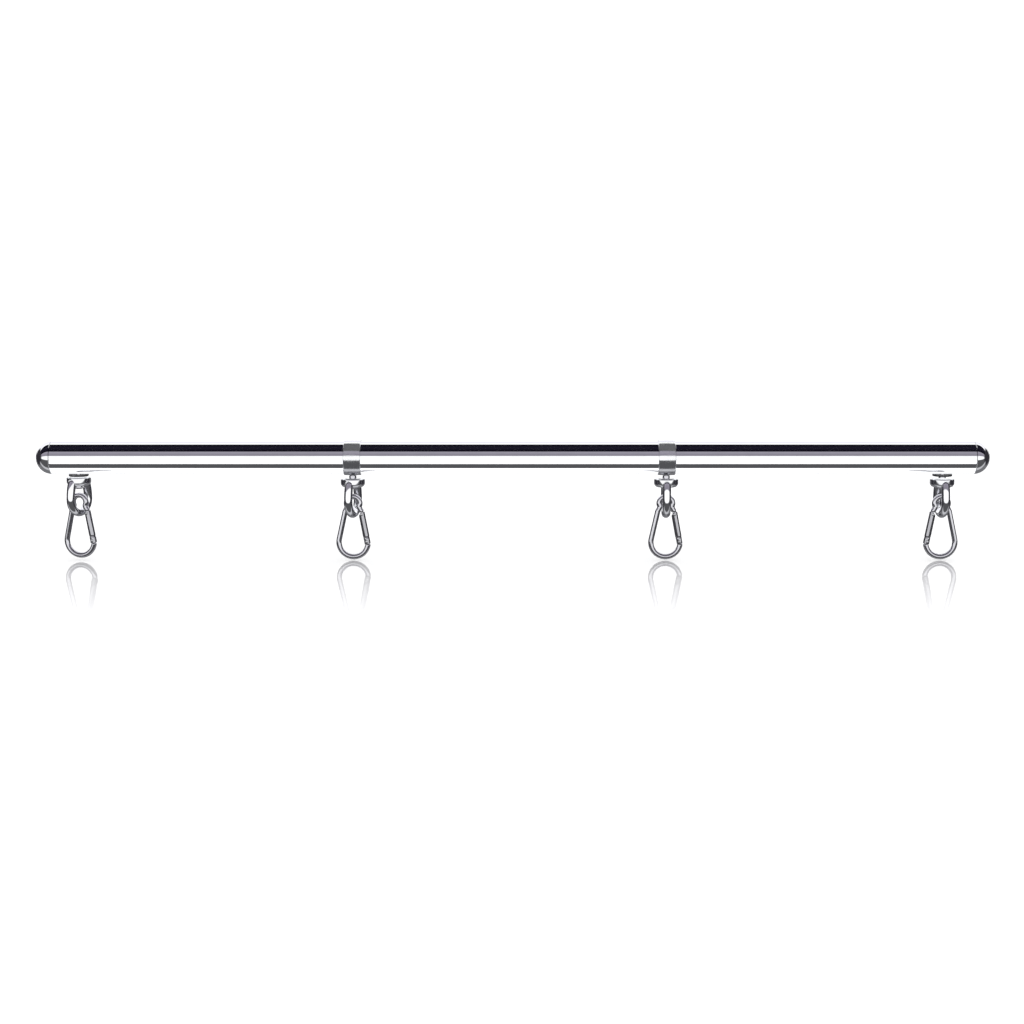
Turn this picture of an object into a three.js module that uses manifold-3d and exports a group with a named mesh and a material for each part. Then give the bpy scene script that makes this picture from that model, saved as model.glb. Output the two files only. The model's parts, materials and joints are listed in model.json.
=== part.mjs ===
// Light spreader bar: a chrome tube with domed ends and four swivel eyes below it, each with a spring
// snap hook. Two eyes are riveted near the ends and two to collars that slide along the tube.
// Millimetres, X along the bar, +Z up, origin on the tube's axis at mid-length.
import * as THREE from "three";
import { mergeVertices } from "three/addons/utils/BufferGeometryUtils.js";
import Module from "manifold-3d";

const wasm = await Module();
wasm.setup();

const degrees = THREE.MathUtils.degToRad;

// Driving dimensions
const TUBE_RADIUS = 12.5;
const TUBE_WALL = 1.5;
const BAR_LENGTH = 726;
const FIT = 0.2; // gap between parts that touch
const LOOSE = 0.3; // gap round a part that turns
const EDGE = 0.3; // bevel on a machined edge
const OVERRUN = 1; // how far a cutting shape runs past the face it opens

const CAP_DEPTH = 11.7;
const CAP_WALL = 1.4;
const SPIGOT_LENGTH = 10;
const SPIGOT_EDGE = 0.5;
const CROWN_THICKNESS = 3.4; // of the cap, on its axis
const TUBE_HALF = BAR_LENGTH / 2 - CAP_DEPTH - FIT;
const TUBE_BORE = TUBE_RADIUS - TUBE_WALL;

const BAND_WIDTH = 13;
const BAND_WALL = 0.9;
const BAND_BORE = TUBE_RADIUS + FIT;
const BAND_RADIUS = BAND_BORE + BAND_WALL;
const SINK_RADIUS = 3.1; // countersink in the band for the rivet's flush head

const WASHER_RADIUS = 7.5;
const WASHER_TOP = -TUBE_RADIUS - FIT;
const WASHER_THICKNESS = 1.4;
const WASHER_BOTTOM = WASHER_TOP - WASHER_THICKNESS;

const TENON_RADIUS = 2;
const JOURNAL_RADIUS = 2.75;
const BUTTON_RADIUS = 3.7;
const BUTTON_HEIGHT = 1.4;
const BUTTON_RIM = 0.5; // straight part of the button's side
const TENON_HOLE = TENON_RADIUS + FIT;
const SINK_BOTTOM = -BAND_BORE - 0.6;

const EYE_TOP = -15.5;
const EYE_RADIUS = 9.25;
const EYE_THICKNESS = 7;
const END_PLAY = 1.2; // how far an eye can rise on its rivet
const RING_WIRE = 3.2;
const RING_HALF_WIDTH = 9.7;
const RING_CENTRE = -17.5; // below the eye's top, where the ring is widest
const RING_BOTTOM = -27.75; // the wire's centre at the ring's lowest point
const RING_RISE = 20.95; // half-height of the ring's upper oval, most of it inside the disc
const RING_END = -4.5; // where each leg ends in a rounded blister on the disc's wall

const HOOK_TOP = 15.2; // the hook is drawn round the centre of the ring wire that it hangs on
const HOOK_WIRE = 2.05;
const EYELET_RADIUS = 5.2;
const EYELET_CENTRE = HOOK_TOP - HOOK_WIRE - EYELET_RADIUS;
const NECK_TURN = degrees(20); // how far the eyelet's arc runs below its centre
const NECK_PULL = 2; // handle lengths of the curve from the neck to the leg
const LEG_PULL = 1.6;
const LEG_X = 6.24;
const LEG_Z = 1.6;
const BOW_RADIUS = 11.2;
const BOW_CENTRE = -22.1;
const SEAT_DEPTH = 0.35; // flat pressed into the lowest point inside the bow
const NOSE_TURN = degrees(10);
const NOSE_X = BOW_RADIUS * Math.cos(NOSE_TURN);
const NOSE_Z = BOW_CENTRE - BOW_RADIUS * Math.sin(NOSE_TURN);

// The spine is tangent to the bow. The gate's axis runs from the end of the short leg to the nose.
const BOW_DROP = LEG_Z - BOW_CENTRE;
const SPINE_TILT = Math.asin(BOW_RADIUS / Math.hypot(LEG_X, BOW_DROP)) - Math.atan2(LEG_X, BOW_DROP);
const GATE_TILT = Math.atan2(NOSE_X - LEG_X, LEG_Z - NOSE_Z);
const HINGE_DROP = 2; // from the leg's end down to the gate's hinge
const HINGE_X = LEG_X + HINGE_DROP * Math.sin(GATE_TILT);
const HINGE_Z = LEG_Z - HINGE_DROP * Math.cos(GATE_TILT);

// The gate, along its own axis from the hinge
const NOSE_GAP = 0.8;
const GATE_RADIUS = 2.45;
const GATE_BORE = 1.85;
const GATE_TOP = 1.7;
const GATE_BOTTOM = HINGE_DROP + NOSE_GAP - Math.hypot(NOSE_X - LEG_X, LEG_Z - NOSE_Z);
const GATE_BEVEL = degrees(45);
const LATCH_PIN_Z = GATE_BOTTOM + 1.9;
const SLOT_TOP = LATCH_PIN_Z + 2.65;
const GATE_CRIMP_BOTTOM = SLOT_TOP + 0.15;
const GATE_CRIMP_TOP = GATE_CRIMP_BOTTOM + 0.9;
const TONGUE_HALF = 1.2;
const TONGUE_THICKNESS = 1.7;
const TONGUE_ROOT = 1.2; // how far a tongue runs into the round wire
const NOTCH_DEPTH = 0.9; // how far the latch notch runs past the nose tongue's middle
const PIN_RADIUS = 0.6;
const SPRING_TOP = -5;
const SPRING_BOTTOM = GATE_CRIMP_TOP + 0.4;
const SPRING_WIRE = 0.3;
const SPRING_RADIUS = 1.2;
const SPRING_TURNS = 7;

const SIDES = { tube: 32, disc: 20, wire: 8, ring: 8, rivet: 12, gate: 12, pin: 6, spring: 4 };
const STEPS = { hook: 44, ring: 20, springTurn: 6, cap: 5, blister: 5 };

// Where each fitting hangs. Yaw turns the ring, and hookYaw the hook, about the vertical.
const FITTINGS = [
  { name: "left_end", x: -331, yaw: degrees(-30), hookYaw: degrees(-14), lift: END_PLAY },
  { name: "left_collar", x: -122, yaw: degrees(-18), hookYaw: degrees(-3), lift: 0 },
  { name: "right_collar", x: 117, yaw: 0, hookYaw: 0, lift: 0 },
  { name: "right_end", x: 327.5, yaw: degrees(8), hookYaw: Math.PI, lift: 0 },
];

const CHROME = { color: 0xd9dbe0, roughness: 0.08, metalness: 1 };
const PLATED = { color: 0xbcbcc0, roughness: 0.22, metalness: 1 };
const STEEL = { color: 0x9a9ca0, roughness: 0.35, metalness: 1 };
const BLACK = { color: 0x17171a, roughness: 0.55, metalness: 0.2 };

// Solids

function toSolid(geometry) {
  const plain = geometry.index ? geometry.toNonIndexed() : geometry.clone();
  plain.deleteAttribute("normal");
  plain.deleteAttribute("uv");
  const merged = mergeVertices(plain, 1e-4);
  const mesh = new wasm.Mesh({
    numProp: 3,
    vertProperties: merged.attributes.position.array,
    triVerts: new Uint32Array(merged.index.array),
  });
  return new wasm.Manifold(mesh);
}

function toGeometry(solid) {
  const mesh = solid.getMesh();
  const geometry = new THREE.BufferGeometry();
  geometry.setAttribute("position", new THREE.BufferAttribute(mesh.vertProperties, 3));
  geometry.setIndex(new THREE.BufferAttribute(mesh.triVerts, 1));
  geometry.computeVertexNormals();
  return geometry;
}

function shape(joined, cuts = []) {
  let solid = toSolid(joined[0]);
  for (const piece of joined.slice(1)) solid = solid.add(toSolid(piece));
  for (const piece of cuts) solid = solid.subtract(toSolid(piece));
  return toGeometry(solid);
}

// A profile of [radius, height] pairs turned about Z.
function turned(profile, sides) {
  const points = profile.map(([radius, height]) => new THREE.Vector2(radius, height));
  return new THREE.LatheGeometry(points, sides).rotateX(Math.PI / 2);
}

// The same with a profile that closes on itself, for a part with a hole.
function turnedRing(profile, sides) {
  return turned([...profile, profile[0]], sides);
}

function rod(radius, bottom, top, sides) {
  const height = top - bottom;
  const geometry = new THREE.CylinderGeometry(radius, radius, height, sides);
  return geometry.rotateX(Math.PI / 2).translate(0, 0, (top + bottom) / 2);
}

// The hole for a cross pin along Y, at height z on the gate's axis
function pinHole(z) {
  const radius = PIN_RADIUS + FIT;
  const length = 2 * GATE_RADIUS + 2 * OVERRUN;
  return new THREE.CylinderGeometry(radius, radius, length, SIDES.pin).translate(0, 0, z);
}

function roundSection(radius, sides) {
  const points = [];
  for (let i = 0; i < sides; i++) {
    const angle = ((i + 0.5) * 2 * Math.PI) / sides;
    points.push(new THREE.Vector2(radius * Math.cos(angle), radius * Math.sin(angle)));
  }
  return new THREE.Shape(points);
}

function wire(curve, radius, sides, steps) {
  return new THREE.ExtrudeGeometry(roundSection(radius, sides), { steps, extrudePath: curve });
}

// A flat outline in X and Z, given a thickness along Y.
function plate(outline, thickness) {
  const options = { depth: thickness, bevelEnabled: false, curveSegments: 8 };
  const geometry = new THREE.ExtrudeGeometry(outline, options);
  return geometry.translate(0, 0, -thickness / 2).rotateX(Math.PI / 2);
}

// Bar

function barTube() {
  const outline = [
    [TUBE_BORE, -TUBE_HALF],
    [TUBE_RADIUS - EDGE, -TUBE_HALF],
    [TUBE_RADIUS, EDGE - TUBE_HALF],
    [TUBE_RADIUS, TUBE_HALF - EDGE],
    [TUBE_RADIUS - EDGE, TUBE_HALF],
    [TUBE_BORE, TUBE_HALF],
  ];
  const tube = turnedRing(outline, SIDES.tube).rotateY(Math.PI / 2);
  const holes = [FITTINGS[0], FITTINGS[3]].map((fitting) =>
    rod(TENON_HOLE, -TUBE_RADIUS - OVERRUN, -TUBE_BORE + OVERRUN, SIDES.rivet).translate(fitting.x, 0, 0),
  );
  return shape([tube], holes);
}

// A dome on the axis, facing +Z from its shoulder at 0, with a hollow spigot below.
function endCap() {
  const spigot = TUBE_BORE - FIT;
  const hollow = spigot - CAP_WALL;
  const outline = [
    [0, CAP_DEPTH - CROWN_THICKNESS],
    [hollow * 0.7, CAP_DEPTH * 0.55],
    [hollow, 0],
    [hollow, -SPIGOT_LENGTH],
    [spigot - SPIGOT_EDGE, -SPIGOT_LENGTH],
    [spigot, SPIGOT_EDGE - SPIGOT_LENGTH],
    [spigot, 0],
  ];
  for (let i = 0; i <= STEPS.cap; i++) {
    const angle = (i * Math.PI) / 2 / STEPS.cap;
    outline.push([TUBE_RADIUS * Math.cos(angle), CAP_DEPTH * Math.sin(angle)]);
  }
  outline[outline.length - 1][0] = 0;
  return turned(outline, SIDES.tube);
}

function endWasher() {
  const outline = [
    [TENON_HOLE, WASHER_BOTTOM],
    [WASHER_RADIUS, WASHER_BOTTOM],
    [WASHER_RADIUS, WASHER_TOP],
    [TENON_HOLE, WASHER_TOP],
  ];
  return turnedRing(outline, SIDES.disc);
}

// The rivet that an eye turns on: a journal with a button head below it, and a tenon above it whose
// head is peened over inside the tube or into the collar's countersink.
function swivelRivet(journalTop, head) {
  const buttonTop = EYE_TOP - EYE_THICKNESS - FIT;
  const buttonBottom = buttonTop - BUTTON_HEIGHT;
  const outline = [
    [0, buttonBottom],
    [BUTTON_RADIUS * 0.6, buttonBottom + 0.2],
    [BUTTON_RADIUS, buttonTop - BUTTON_RIM],
    [BUTTON_RADIUS, buttonTop],
    [JOURNAL_RADIUS, buttonTop],
    [JOURNAL_RADIUS, journalTop],
    [TENON_RADIUS, journalTop],
    ...head,
  ];
  return turned(outline, SIDES.rivet);
}

// Collar: a thin band with a countersunk hole below for the rivet's flush head

function collarBand() {
  const half = BAND_WIDTH / 2;
  const outline = [
    [BAND_BORE, -half],
    [BAND_RADIUS - EDGE, -half],
    [BAND_RADIUS, EDGE - half],
    [BAND_RADIUS, half - EDGE],
    [BAND_RADIUS - EDGE, half],
    [BAND_BORE, half],
  ];
  const band = turnedRing(outline, SIDES.tube).rotateY(Math.PI / 2);
  const hole = [
    [0, -BAND_RADIUS - OVERRUN],
    [TENON_HOLE, -BAND_RADIUS - OVERRUN],
    [TENON_HOLE, SINK_BOTTOM],
    [SINK_RADIUS, -BAND_BORE],
    [SINK_RADIUS, OVERRUN - BAND_BORE],
    [0, OVERRUN - BAND_BORE],
  ];
  return shape([band], [turned(hole, SIDES.rivet)]);
}

// Swivel eye: a thick disc with an oval ring below, in the disc's own Y-Z plane

class RingCurve extends THREE.Curve {
  getPoint(t, target = new THREE.Vector3()) {
    const endAngle = Math.asin((RING_END - RING_CENTRE) / RING_RISE);
    const angle = -endAngle + t * (2 * endAngle + Math.PI);
    const rise = -Math.sin(angle);
    const halfHeight = rise > 0 ? RING_RISE : RING_CENTRE - RING_BOTTOM;
    return target.set(0, -RING_HALF_WIDTH * Math.cos(angle), RING_CENTRE + halfHeight * rise);
  }
}

function swivelEye() {
  const hole = JOURNAL_RADIUS + LOOSE;
  const outline = [
    [hole, -EYE_THICKNESS],
    [EYE_RADIUS - 2.4, -EYE_THICKNESS],
    [EYE_RADIUS - 1.2, 0.4 - EYE_THICKNESS],
    [EYE_RADIUS, 2.2 - EYE_THICKNESS],
    [EYE_RADIUS, -0.9],
    [EYE_RADIUS - 0.6, -0.3],
    [EYE_RADIUS - 2.4, 0],
    [hole, 0],
  ];
  const disc = turnedRing(outline, SIDES.disc);
  const curve = new RingCurve();
  const ring = wire(curve, RING_WIRE, SIDES.ring, STEPS.ring);
  const blisters = [0, 1].map((t) => {
    const end = curve.getPoint(t);
    return new THREE.SphereGeometry(RING_WIRE, SIDES.ring, STEPS.blister).translate(end.x, end.y, end.z);
  });
  const bore = rod(hole, -EYE_THICKNESS - OVERRUN, OVERRUN, SIDES.disc);
  return shape([disc, ring, ...blisters], [bore]);
}

// Snap hook: one bent wire in the X-Z plane, with its gate along a leaning axis from the hinge

function hookPath() {
  const side = Math.cos(NECK_TURN) * EYELET_RADIUS;
  const neckZ = EYELET_CENTRE - Math.sin(NECK_TURN) * EYELET_RADIUS;
  const neckPull = { x: side - NECK_PULL * Math.sin(NECK_TURN), z: neckZ - NECK_PULL * Math.cos(NECK_TURN) };
  const legPull = (tilt) => ({ x: LEG_X - LEG_PULL * Math.sin(tilt), z: LEG_Z + LEG_PULL * Math.cos(tilt) });
  const leg = legPull(GATE_TILT);
  const spine = legPull(SPINE_TILT);
  const path = new THREE.Path();
  path.moveTo(LEG_X, LEG_Z);
  path.bezierCurveTo(leg.x, leg.z, neckPull.x, neckPull.z, side, neckZ);
  path.absarc(0, EYELET_CENTRE, EYELET_RADIUS, -NECK_TURN, Math.PI + NECK_TURN, false);
  path.bezierCurveTo(-neckPull.x, neckPull.z, -spine.x, spine.z, -LEG_X, LEG_Z);
  path.lineTo(-BOW_RADIUS * Math.cos(SPINE_TILT), BOW_CENTRE + BOW_RADIUS * Math.sin(SPINE_TILT));
  path.absarc(0, BOW_CENTRE, BOW_RADIUS, Math.PI - SPINE_TILT, 2 * Math.PI - NOSE_TURN, false);
  const points = path.getSpacedPoints(90).map((point) => new THREE.Vector3(point.x, 0, point.y));
  return new THREE.CatmullRomCurve3(points);
}

// Moves a piece drawn about the hinge, upright, onto the leaning gate axis.
function ontoGate(geometry) {
  return geometry.rotateY(-GATE_TILT).translate(HINGE_X, 0, HINGE_Z);
}

// The flattened end of the wire that the gate turns on
function hingeTongue() {
  const outline = new THREE.Shape();
  outline.moveTo(-TONGUE_HALF, HINGE_DROP + TONGUE_ROOT);
  outline.lineTo(-TONGUE_HALF, 0);
  outline.absarc(0, 0, TONGUE_HALF, Math.PI, 2 * Math.PI, false);
  outline.lineTo(TONGUE_HALF, HINGE_DROP + TONGUE_ROOT);
  return ontoGate(plate(outline, TONGUE_THICKNESS));
}

// The flattened nose that enters the gate's slot, with an open notch for the latch pin
function noseTongue() {
  const notchHalf = PIN_RADIUS + LOOSE;
  const barb = 0.8;
  const top = LATCH_PIN_Z + notchHalf + barb;
  const foot = GATE_BOTTOM - NOSE_GAP - TONGUE_ROOT;
  const outline = new THREE.Shape();
  outline.moveTo(-TONGUE_HALF, foot);
  outline.lineTo(TONGUE_HALF, foot);
  outline.lineTo(TONGUE_HALF, top);
  outline.lineTo(-TONGUE_HALF, top);
  outline.lineTo(-TONGUE_HALF, LATCH_PIN_Z + notchHalf);
  outline.lineTo(NOTCH_DEPTH, LATCH_PIN_Z + notchHalf);
  outline.lineTo(NOTCH_DEPTH, LATCH_PIN_Z - notchHalf);
  outline.lineTo(-TONGUE_HALF, LATCH_PIN_Z - notchHalf);
  return ontoGate(plate(outline, TONGUE_THICKNESS));
}

function hookBody() {
  const body = wire(hookPath(), HOOK_WIRE, SIDES.wire, STEPS.hook);
  const seatZ = BOW_CENTRE - BOW_RADIUS + HOOK_WIRE - SEAT_DEPTH;
  const seatSize = 2 * HOOK_WIRE;
  const seatCut = new THREE.BoxGeometry(seatSize, seatSize, seatSize).translate(0, 0, seatZ + seatSize / 2);
  const hinge = ontoGate(pinHole(0));
  return shape([body, hingeTongue(), noseTongue()], [seatCut, hinge]);
}

function hookGate() {
  const tube = rod(GATE_RADIUS, GATE_BOTTOM, GATE_TOP, SIDES.gate);
  const upperBore = rod(GATE_BORE, GATE_CRIMP_TOP, GATE_TOP + OVERRUN, SIDES.gate);
  const lowerBore = rod(GATE_BORE, GATE_BOTTOM - OVERRUN, GATE_CRIMP_BOTTOM, SIDES.gate);
  const slotWidth = TONGUE_THICKNESS + 2 * LOOSE;
  const slotHeight = SLOT_TOP - GATE_BOTTOM + OVERRUN;
  const across = 2 * GATE_RADIUS + 2 * OVERRUN;
  const slotMiddle = SLOT_TOP - slotHeight / 2;
  const slot = new THREE.BoxGeometry(across, slotWidth, slotHeight).translate(0, 0, slotMiddle);
  const bevel = new THREE.BoxGeometry(across, across, across)
    .translate(-across / 2, 0, across / 2)
    .rotateY(-GATE_BEVEL)
    .translate(0, 0, GATE_TOP);
  return shape([tube], [upperBore, lowerBore, slot, bevel, pinHole(0), pinHole(LATCH_PIN_Z)]);
}

// A small rivet along Y, headed at both ends outside the gate
function crossRivet() {
  const headStart = GATE_RADIUS + FIT;
  const headRadius = 2 * PIN_RADIUS;
  const headRim = 0.15;
  const headHeight = 0.5;
  const half = [
    [PIN_RADIUS, headStart],
    [headRadius, headStart],
    [headRadius, headStart + headRim],
    [headRadius - EDGE, headStart + headRim + EDGE],
    [0, headStart + headHeight],
  ];
  const lower = half.map(([radius, height]) => [radius, -height]).reverse();
  return turned([...lower, ...half], SIDES.pin).rotateX(Math.PI / 2);
}

function gatePlunger() {
  const radius = GATE_BORE - LOOSE;
  const bottom = SPRING_TOP + SPRING_WIRE + LOOSE;
  const top = -TONGUE_HALF - LOOSE;
  const outline = [
    [0, bottom],
    [radius, bottom],
    [radius, top - EDGE],
    [radius - EDGE, top],
    [0, top],
  ];
  return turned(outline, SIDES.pin);
}

class Helix extends THREE.Curve {
  getPoint(t, target = new THREE.Vector3()) {
    const angle = t * SPRING_TURNS * 2 * Math.PI;
    const height = SPRING_BOTTOM + t * (SPRING_TOP - SPRING_BOTTOM);
    return target.set(SPRING_RADIUS * Math.cos(angle), SPRING_RADIUS * Math.sin(angle), height);
  }
}

function gateSpring() {
  return wire(new Helix(), SPRING_WIRE, SIDES.spring, SPRING_TURNS * STEPS.springTurn);
}

// Assembly

function piece(name, geometry, finish) {
  const mesh = new THREE.Mesh(geometry, new THREE.MeshStandardMaterial(finish));
  mesh.name = name;
  return mesh;
}

function snapHook(name) {
  const hook = new THREE.Group();
  const gate = new THREE.Group();
  const latchPin = piece(name + "_latch_pin", crossRivet(), STEEL);
  latchPin.position.z = LATCH_PIN_Z;
  gate.position.set(HINGE_X, 0, HINGE_Z);
  gate.rotation.y = -GATE_TILT;
  gate.add(
    piece(name + "_hook_gate", hookGate(), PLATED),
    piece(name + "_gate_rivet", crossRivet(), STEEL),
    latchPin,
    piece(name + "_gate_plunger", gatePlunger(), STEEL),
    piece(name + "_gate_spring", gateSpring(), STEEL),
  );
  hook.add(piece(name + "_hook_body", hookBody(), PLATED), gate);
  return hook;
}

function endMount(name) {
  const headRadius = 3.5;
  const headHeight = 1.4;
  const headBottom = FIT - Math.sqrt(TUBE_BORE ** 2 - headRadius ** 2);
  const headTop = headBottom + headHeight;
  const rivet = swivelRivet(WASHER_BOTTOM - FIT, [
    [TENON_RADIUS, headBottom],
    [headRadius, headBottom],
    [headRadius, headTop - EDGE],
    [headRadius - EDGE, headTop],
    [0, headTop],
  ]);
  return [
    piece(name + "_washer", endWasher(), BLACK),
    piece(name + "_rivet", rivet, PLATED),
  ];
}

function collarMount(name) {
  const headTop = -BAND_BORE - 0.05;
  const rivet = swivelRivet(-BAND_RADIUS - FIT, [
    [TENON_RADIUS, SINK_BOTTOM],
    [SINK_RADIUS - FIT, headTop],
    [0, headTop],
  ]);
  return [piece(name + "_band", collarBand(), CHROME), piece(name + "_rivet", rivet, PLATED)];
}

function fittingGroup({ name, x, yaw, hookYaw, lift }) {
  const fitting = new THREE.Group();
  fitting.position.x = x;
  const isEnd = name.endsWith("_end");
  const eye = piece(name + "_swivel_eye", swivelEye(), CHROME);
  eye.position.z = EYE_TOP + lift;
  eye.rotation.z = yaw;
  const hook = snapHook(name);
  hook.position.z = EYE_TOP + lift + RING_BOTTOM;
  hook.rotation.z = hookYaw;
  fitting.add(...(isEnd ? endMount(name) : collarMount(name)), eye, hook);
  return fitting;
}

const bar = new THREE.Group();
const leftCap = piece("left_end_cap", endCap(), CHROME);
leftCap.position.x = -TUBE_HALF - FIT;
leftCap.rotation.y = -Math.PI / 2;
const rightCap = piece("right_end_cap", endCap(), CHROME);
rightCap.position.x = TUBE_HALF + FIT;
rightCap.rotation.y = Math.PI / 2;
bar.add(piece("bar_tube", barTube(), CHROME), leftCap, rightCap);
bar.add(...FITTINGS.map(fittingGroup));

export default bar;
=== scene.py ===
"""A light spreader bar: a chrome tube with domed ends and four swivel eyes, each with a spring snap hook.

Lengths are named in millimetres and drawn in metres. Each piece is drawn in its own small frame, in the same
sizes as the CAD, then placed by the frame's joints and boxes.
"""

import json
import math

import bmesh
import bpy
from mathutils import Matrix, Vector


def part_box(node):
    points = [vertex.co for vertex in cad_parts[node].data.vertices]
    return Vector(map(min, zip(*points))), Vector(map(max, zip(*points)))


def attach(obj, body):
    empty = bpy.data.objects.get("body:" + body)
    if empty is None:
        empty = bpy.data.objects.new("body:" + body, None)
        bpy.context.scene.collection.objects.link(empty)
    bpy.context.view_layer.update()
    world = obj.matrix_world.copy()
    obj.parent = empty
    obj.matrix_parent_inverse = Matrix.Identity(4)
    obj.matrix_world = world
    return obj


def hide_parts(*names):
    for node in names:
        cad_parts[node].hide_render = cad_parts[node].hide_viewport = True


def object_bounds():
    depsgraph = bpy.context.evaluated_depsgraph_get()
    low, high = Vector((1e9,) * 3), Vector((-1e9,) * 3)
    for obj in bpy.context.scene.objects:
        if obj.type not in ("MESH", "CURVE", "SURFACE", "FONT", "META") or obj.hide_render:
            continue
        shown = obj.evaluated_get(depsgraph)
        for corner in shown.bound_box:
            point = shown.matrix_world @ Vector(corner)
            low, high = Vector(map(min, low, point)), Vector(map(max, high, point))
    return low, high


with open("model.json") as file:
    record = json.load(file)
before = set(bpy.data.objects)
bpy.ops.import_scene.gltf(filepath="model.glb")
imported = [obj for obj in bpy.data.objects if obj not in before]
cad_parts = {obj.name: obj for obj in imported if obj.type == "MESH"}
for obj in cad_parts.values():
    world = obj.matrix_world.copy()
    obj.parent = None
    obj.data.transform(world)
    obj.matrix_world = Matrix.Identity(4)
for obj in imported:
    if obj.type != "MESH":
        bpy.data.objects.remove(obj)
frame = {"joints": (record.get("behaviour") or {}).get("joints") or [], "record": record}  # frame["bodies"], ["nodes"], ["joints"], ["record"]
cad_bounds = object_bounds()
joints = {joint["name"]: joint for joint in frame["joints"]}

MM = 0.001
ENDS = ("left_end", "right_end")
COLLARS = ("left_collar", "right_collar")
FITTINGS = ("left_end", "left_collar", "right_collar", "right_end")

# Bar, collars and rivets
TUBE_RADIUS = 12.5
TUBE_WALL = 1.5
TUBE_BORE = TUBE_RADIUS - TUBE_WALL
CAP_DEPTH = 11.7
CAP_WALL = 1.4
SPIGOT_LENGTH = 10
SPIGOT_RADIUS = TUBE_BORE - 0.2
BAND_BORE = 12.7
BAND_RADIUS = 13.6
BAND_WIDTH = 13
SINK_BOTTOM = -13.3
SINK_RADIUS = 3.1
WASHER_RADIUS = 7.5
TENON_RADIUS = 2
JOURNAL_RADIUS = 2.75
BUTTON_RADIUS = 3.7
BUTTON_HEIGHT = 1.4
HEAD_RADIUS = 3.5
HEAD_HEIGHT = 1.4
END_JOURNAL_TOP = -14.3
COLLAR_JOURNAL_TOP = -13.8

# Swivel eye, from the top of its disc
EYE_RADIUS = 9.25
EYE_THICKNESS = 7
EYE_HOLE = 3.05
RING_WIRE = 3.2
RING_HALF_WIDTH = 9.7
RING_CENTRE = -17.5
RING_BOTTOM = -27.75
RING_RISE = 20.95
RING_END = -4.5

# Snap hook, from the centre of the ring wire that it hangs on
HOOK_TOP = 15.2
HOOK_WIRE = 2.05
EYELET_RADIUS = 5.2
EYELET_CENTRE = HOOK_TOP - HOOK_WIRE - EYELET_RADIUS
NECK_TURN = math.radians(20)
LEG_X = 6.24
LEG_Z = 1.6
LEG_PULL = 1.6
NECK_PULL = 2
BOW_RADIUS = 11.2
BOW_CENTRE = -22.1
NOSE_TURN = math.radians(10)
NOSE = (BOW_RADIUS * math.cos(NOSE_TURN), BOW_CENTRE - BOW_RADIUS * math.sin(NOSE_TURN))
BOW_DROP = LEG_Z - BOW_CENTRE
SPINE_TILT = math.asin(BOW_RADIUS / math.hypot(LEG_X, BOW_DROP)) - math.atan2(LEG_X, BOW_DROP)
GATE_TILT = math.atan2(NOSE[0] - LEG_X, LEG_Z - NOSE[1])
HINGE_DROP = 2
HINGE = (LEG_X + HINGE_DROP * math.sin(GATE_TILT), LEG_Z - HINGE_DROP * math.cos(GATE_TILT))

# Gate, along its own axis from the hinge
NOSE_GAP = 0.8
GATE_RADIUS = 2.45
GATE_BORE = 1.85
GATE_TOP = 1.7
GATE_BOTTOM = HINGE_DROP + NOSE_GAP - math.hypot(NOSE[0] - LEG_X, LEG_Z - NOSE[1])
GATE_BEVEL = math.radians(45)
LATCH_PIN = GATE_BOTTOM + 1.9
SLOT_TOP = LATCH_PIN + 2.65
SLOT_WIDTH = 2.3
CRIMP = SLOT_TOP + 0.6
TONGUE_HALF = 1.2
TONGUE_THICKNESS = 1.7
NOTCH_DEPTH = 0.9
PIN_RADIUS = 0.6
TONGUE_TIP = LATCH_PIN + PIN_RADIUS + 1.1
SPRING_TOP = -5
SPRING_BOTTOM = SLOT_TOP + 1.45
SPRING_WIRE = 0.3
SPRING_RADIUS = 1.2
SPRING_TURNS = 7

ROUND = 96  # sides of the large turned pieces
FINE = 48  # sides of the small turned pieces and the wires


# Outlines


def arc(x, z, radius, start, stop, steps):
    """Points on an arc, both ends included."""
    angles = [start + (stop - start) * i / steps for i in range(steps + 1)]
    return [(x + radius * math.cos(a), z + radius * math.sin(a)) for a in angles]


def bezier(start, pull_start, pull_stop, stop, steps=24):
    points = []
    for i in range(steps + 1):
        t = i / steps
        weights = ((1 - t) ** 3, 3 * t * (1 - t) ** 2, 3 * t * t * (1 - t), t**3)
        corners = (start, pull_start, pull_stop, stop)
        points.append(tuple(sum(w * c[k] for w, c in zip(weights, corners)) for k in (0, 1)))
    return points


def eased(corners, radius, steps=5, closed=False):
    """An outline with its corners rounded. The two ends of an open one stay as they are."""
    points = []
    count = len(corners)
    for i, corner in enumerate(corners):
        at_end = not closed and i in (0, count - 1)
        here = Vector(corner)
        back = Vector(corners[i - 1]) - here
        ahead = Vector(corners[(i + 1) % count]) - here
        if at_end:
            points.append(tuple(here))
            continue
        reach = min(radius, 0.45 * back.length, 0.45 * ahead.length)
        start = here + back.normalized() * reach
        stop = here + ahead.normalized() * reach
        for k in range(steps + 1):
            t = k / steps
            points.append(tuple(start * (1 - t) ** 2 + here * 2 * t * (1 - t) + stop * t * t))
    return points


def evenly(points, step):
    """The same line with points at even distances along it."""
    lengths = [0]
    for a, b in zip(points, points[1:]):
        lengths.append(lengths[-1] + math.dist(a, b))
    count = round(lengths[-1] / step)
    spaced = []
    k = 0
    for i in range(count + 1):
        wanted = lengths[-1] * i / count
        while k < len(lengths) - 2 and lengths[k + 1] < wanted:
            k += 1
        span = lengths[k + 1] - lengths[k]
        t = (wanted - lengths[k]) / span if span else 0
        spaced.append(tuple(a + (b - a) * t for a, b in zip(points[k], points[k + 1])))
    return spaced


# Meshes


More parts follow.
